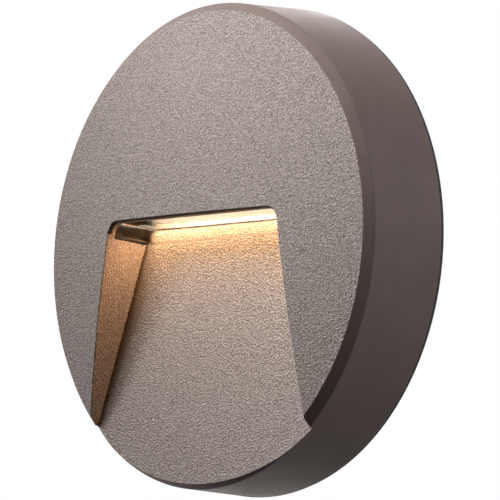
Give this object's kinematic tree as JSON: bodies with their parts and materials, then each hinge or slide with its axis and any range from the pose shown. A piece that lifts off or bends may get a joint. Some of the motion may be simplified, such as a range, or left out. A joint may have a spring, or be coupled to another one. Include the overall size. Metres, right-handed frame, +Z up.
{
  "type": "wall mounted pathway light",
  "caption": "Round domed wall light with a tapered downward recess, a lit lens in its ceiling and a sealed driver, held on a wall bracket by set screws in the rim.",
  "frame": {"origin": "centre of the wall bracket's rear face, which lies on the wall, on the axis of the round housing", "axes": "+Y into the wall, square to it, with the front of the light facing -Y; +Z up; +X to the viewer's right"},
  "size_m": [0.1498, 0.0332, 0.1498],
  "materials": {
    "powder_coat": "fine-textured grey-brown powder coat",
    "zinc_steel": "zinc plated",
    "plain_aluminium": "mill finish sheet",
    "clear_lens": "clear moulded acrylic, lit warm white from behind",
    "black_rubber": "matt silicone",
    "grey_foam": "closed-cell foam",
    "white_plastic": "white moulded plastic",
    "white_board": "white solder mask on metal-core board",
    "green_board": "green solder mask",
    "black_plastic": "matt moulded plastic",
    "ferrite": "dull ferrite core",
    "led_phosphor": "yellow phosphor, lit",
    "thermal_pad": "soft silicone pad",
    "terminal_brass": "plain brass",
    "capacitor_sleeve": "shrink sleeve",
    "component_plastic": "moulded epoxy case",
    "brown_lead": "insulation",
    "blue_lead": "insulation",
    "green_yellow_lead": "insulation",
    "red_lead": "insulation",
    "black_lead": "insulation"
  },
  "bodies": {
    "bracket": {"wall_bracket": "zinc_steel"},
    "light_unit": {"wall_gasket": "grey_foam", "front_housing": "powder_coat", "lens": "clear_lens", "lens_gasket_left": "black_rubber", "lens_gasket_right": "black_rubber", "reflector_frame": "white_plastic", "led_board": "white_board", "led_board_screw_1": "zinc_steel", "led_board_screw_2": "zinc_steel", "thermal_pad": "thermal_pad", "heat_spreader": "plain_aluminium", "heat_spreader_screw_1": "zinc_steel", "heat_spreader_screw_2": "zinc_steel", "driver_case": "black_plastic", "driver_lid": "black_plastic", "driver_board": "green_board", "transformer": "ferrite", "fuse": "component_plastic", "filter_capacitor": "component_plastic", "input_capacitor": "capacitor_sleeve", "output_capacitor": "capacitor_sleeve", "driver_case_screw_1": "zinc_steel", "driver_case_screw_2": "zinc_steel", "terminal_block": "white_plastic", "terminal_cage_line": "terminal_brass", "terminal_cage_neutral": "terminal_brass", "terminal_cage_earth": "terminal_brass", "terminal_screw_line": "zinc_steel", "terminal_screw_neutral": "zinc_steel", "terminal_screw_earth": "zinc_steel", "terminal_block_screw_1": "zinc_steel", "terminal_block_screw_2": "zinc_steel", "earth_washer": "zinc_steel", "earth_tag": "zinc_steel", "earth_screw": "zinc_steel", "earth_lead": "green_yellow_lead", "mains_lead_line": "brown_lead", "mains_lead_neutral": "blue_lead", "led_lead_plus": "red_lead", "led_lead_minus": "black_lead", "rear_cover": "plain_aluminium", "cover_gasket": "black_rubber", "cable_grommet": "black_rubber", "led_1": "led_phosphor", "cover_screw_1": "zinc_steel", "led_2": "led_phosphor", "cover_screw_2": "zinc_steel", "led_3": "led_phosphor", "cover_screw_3": "zinc_steel", "led_4": "led_phosphor", "cover_screw_4": "zinc_steel", "led_5": "led_phosphor", "cover_screw_5": "zinc_steel", "led_6": "led_phosphor", "cover_screw_6": "zinc_steel"},
    "top_screw": {"set_screw_top": "zinc_steel"},
    "bottom_screw": {"set_screw_bottom": "zinc_steel"}
  },
  "joints": [
    {"name": "light_unit_lift_off", "type": "slide", "parent": "bracket", "child": "light_unit", "axis": [0, -1, 0], "range_m": [0, 0.04]},
    {"name": "set_screw_top_out", "type": "slide", "parent": "light_unit", "child": "top_screw", "axis": [0, 0, 1], "range_m": [0, 0.008]},
    {"name": "set_screw_bottom_out", "type": "slide", "parent": "light_unit", "child": "bottom_screw", "axis": [0, 0, -1], "range_m": [0, 0.008]}
  ]
}
